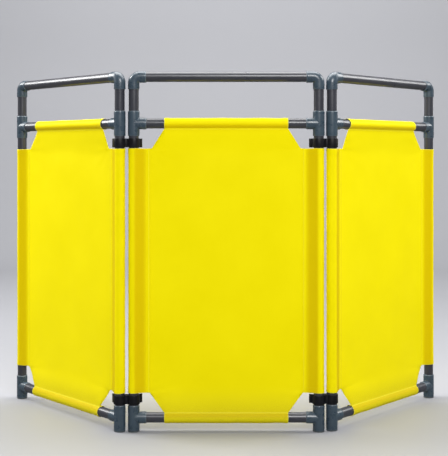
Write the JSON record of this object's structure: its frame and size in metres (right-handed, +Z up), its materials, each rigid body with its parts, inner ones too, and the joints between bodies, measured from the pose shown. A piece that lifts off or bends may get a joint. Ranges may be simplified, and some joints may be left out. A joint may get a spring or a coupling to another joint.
{
  "type": "folding barrier screen",
  "caption": "Free-standing folding barrier: pipe frames with yellow coated-cloth sheets on sewn sleeves, joined by press-fit pipe clips that let the wings fold.",
  "frame": {"origin": "on the floor, at the centre of the screen's floor rectangle as it stands half folded", "axes": "+X along the middle panel to the right seen from the front, +Y to the back, where the wings go, +Z up"},
  "size_m": [1.5888, 0.5105, 1.2065],
  "materials": {
    "pipe_plastic": "satin dark grey extruded pipe",
    "fitting_plastic": "satin blue-grey moulded fitting",
    "foot_plastic": "satin blue-grey moulding, scuffed below",
    "clip_plastic": "matte black moulding",
    "coated_cloth": "smooth bright yellow coated cloth"
  },
  "bodies": {
    "middle_panel": {"middle_panel_top_rail": "pipe_plastic", "middle_panel_upper_crossbar": "pipe_plastic", "middle_panel_lower_crossbar": "pipe_plastic", "middle_panel_sheet": "coated_cloth", "middle_panel_left_elbow": "fitting_plastic", "middle_panel_left_stub": "pipe_plastic", "middle_panel_left_upper_tee": "fitting_plastic", "middle_panel_left_upright": "pipe_plastic", "middle_panel_left_lower_tee": "fitting_plastic", "middle_panel_left_foot_plug": "foot_plastic", "middle_panel_right_elbow": "fitting_plastic", "middle_panel_right_stub": "pipe_plastic", "middle_panel_right_upper_tee": "fitting_plastic", "middle_panel_right_upright": "pipe_plastic", "middle_panel_right_lower_tee": "fitting_plastic", "middle_panel_right_foot_plug": "foot_plastic"},
    "left_clips": {"left_upper_clip": "clip_plastic", "left_lower_clip": "clip_plastic"},
    "left_wing": {"left_panel_top_rail": "pipe_plastic", "left_panel_upper_crossbar": "pipe_plastic", "left_panel_lower_crossbar": "pipe_plastic", "left_panel_sheet": "coated_cloth", "left_panel_left_elbow": "fitting_plastic", "left_panel_left_stub": "pipe_plastic", "left_panel_left_upper_tee": "fitting_plastic", "left_panel_left_upright": "pipe_plastic", "left_panel_left_lower_tee": "fitting_plastic", "left_panel_left_foot_plug": "foot_plastic", "left_panel_right_elbow": "fitting_plastic", "left_panel_right_stub": "pipe_plastic", "left_panel_right_upper_tee": "fitting_plastic", "left_panel_right_upright": "pipe_plastic", "left_panel_right_lower_tee": "fitting_plastic", "left_panel_right_foot_plug": "foot_plastic"},
    "right_clips": {"right_upper_clip": "clip_plastic", "right_lower_clip": "clip_plastic"},
    "right_wing": {"right_panel_top_rail": "pipe_plastic", "right_panel_upper_crossbar": "pipe_plastic", "right_panel_lower_crossbar": "pipe_plastic", "right_panel_sheet": "coated_cloth", "right_panel_left_elbow": "fitting_plastic", "right_panel_left_stub": "pipe_plastic", "right_panel_left_upper_tee": "fitting_plastic", "right_panel_left_upright": "pipe_plastic", "right_panel_left_lower_tee": "fitting_plastic", "right_panel_left_foot_plug": "foot_plastic", "right_panel_right_elbow": "fitting_plastic", "right_panel_right_stub": "pipe_plastic", "right_panel_right_upper_tee": "fitting_plastic", "right_panel_right_upright": "pipe_plastic", "right_panel_right_lower_tee": "fitting_plastic", "right_panel_right_foot_plug": "foot_plastic"}
  },
  "joints": [
    {"name": "left_clip_swing", "type": "hinge", "parent": "middle_panel", "child": "left_clips", "pos_m": [-0.30909, -0.23428, 0.966], "axis": [0, 0, 1], "range_deg": [-90, 0]},
    {"name": "left_wing_fold", "type": "hinge", "parent": "left_clips", "child": "left_wing", "pos_m": [-0.35609, -0.23428, 0.966], "axis": [0, 0, 1], "range_deg": [-42.5, 137.5]},
    {"name": "right_clip_swing", "type": "hinge", "parent": "middle_panel", "child": "right_clips", "pos_m": [0.31091, -0.23428, 0.966], "axis": [0, 0, 1], "range_deg": [-106, 0]},
    {"name": "right_wing_fold", "type": "hinge", "parent": "right_clips", "child": "right_wing", "pos_m": [0.35609, -0.22133, 0.966], "axis": [0, 0, 1], "range_deg": [-121.5, 42.5]}
  ]
}
